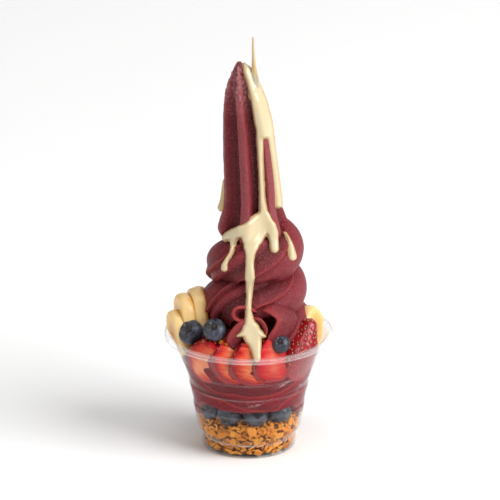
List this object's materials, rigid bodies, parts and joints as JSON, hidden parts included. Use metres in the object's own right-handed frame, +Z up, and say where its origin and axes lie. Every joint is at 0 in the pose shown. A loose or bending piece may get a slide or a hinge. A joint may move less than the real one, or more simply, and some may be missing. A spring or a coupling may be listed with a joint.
{
  "type": "acai cup",
  "caption": "Clear dessert cup of granola, blueberries and acai with a tall piped swirl, strawberry and banana slices and a condensed milk drizzle.",
  "frame": {"origin": "middle of the cup's base, on the surface that it stands on", "axes": "+Z up along the cup's axis and the swirl; -Y is the front, where the drizzle runs down"},
  "size_m": [0.098, 0.098, 0.2505],
  "materials": {
    "cup": "clear thermoformed PET",
    "granola": "toasted oat granola",
    "acai": "frozen acai cream, satin, with condensed milk on it",
    "blueberry": "blueberry skin with bloom",
    "strawberry": "wet cut strawberry",
    "banana": "cut banana, moist"
  },
  "bodies": {
    "root": {"cup": "cup", "granola": "granola", "acai": "acai", "buried_blueberry_1": "blueberry", "buried_blueberry_2": "blueberry", "buried_blueberry_3": "blueberry", "buried_blueberry_4": "blueberry", "buried_blueberry_5": "blueberry", "buried_blueberry_6": "blueberry", "buried_blueberry_7": "blueberry", "buried_blueberry_8": "blueberry", "blueberry_1": "blueberry", "blueberry_2": "blueberry", "blueberry_3": "blueberry", "blueberry_4": "blueberry", "blueberry_5": "blueberry", "strawberry_slice_1": "strawberry", "strawberry_slice_2": "strawberry", "strawberry_slice_3": "strawberry", "strawberry_slice_4": "strawberry", "strawberry_slice_5": "strawberry", "strawberry_slice_6": "strawberry", "strawberry_slice_7": "strawberry", "strawberry_slice_8": "strawberry", "banana_slice_1": "banana", "banana_slice_2": "banana", "banana_slice_3": "banana", "banana_slice_4": "banana", "banana_slice_5": "banana"}
  },
  "joints": []
}
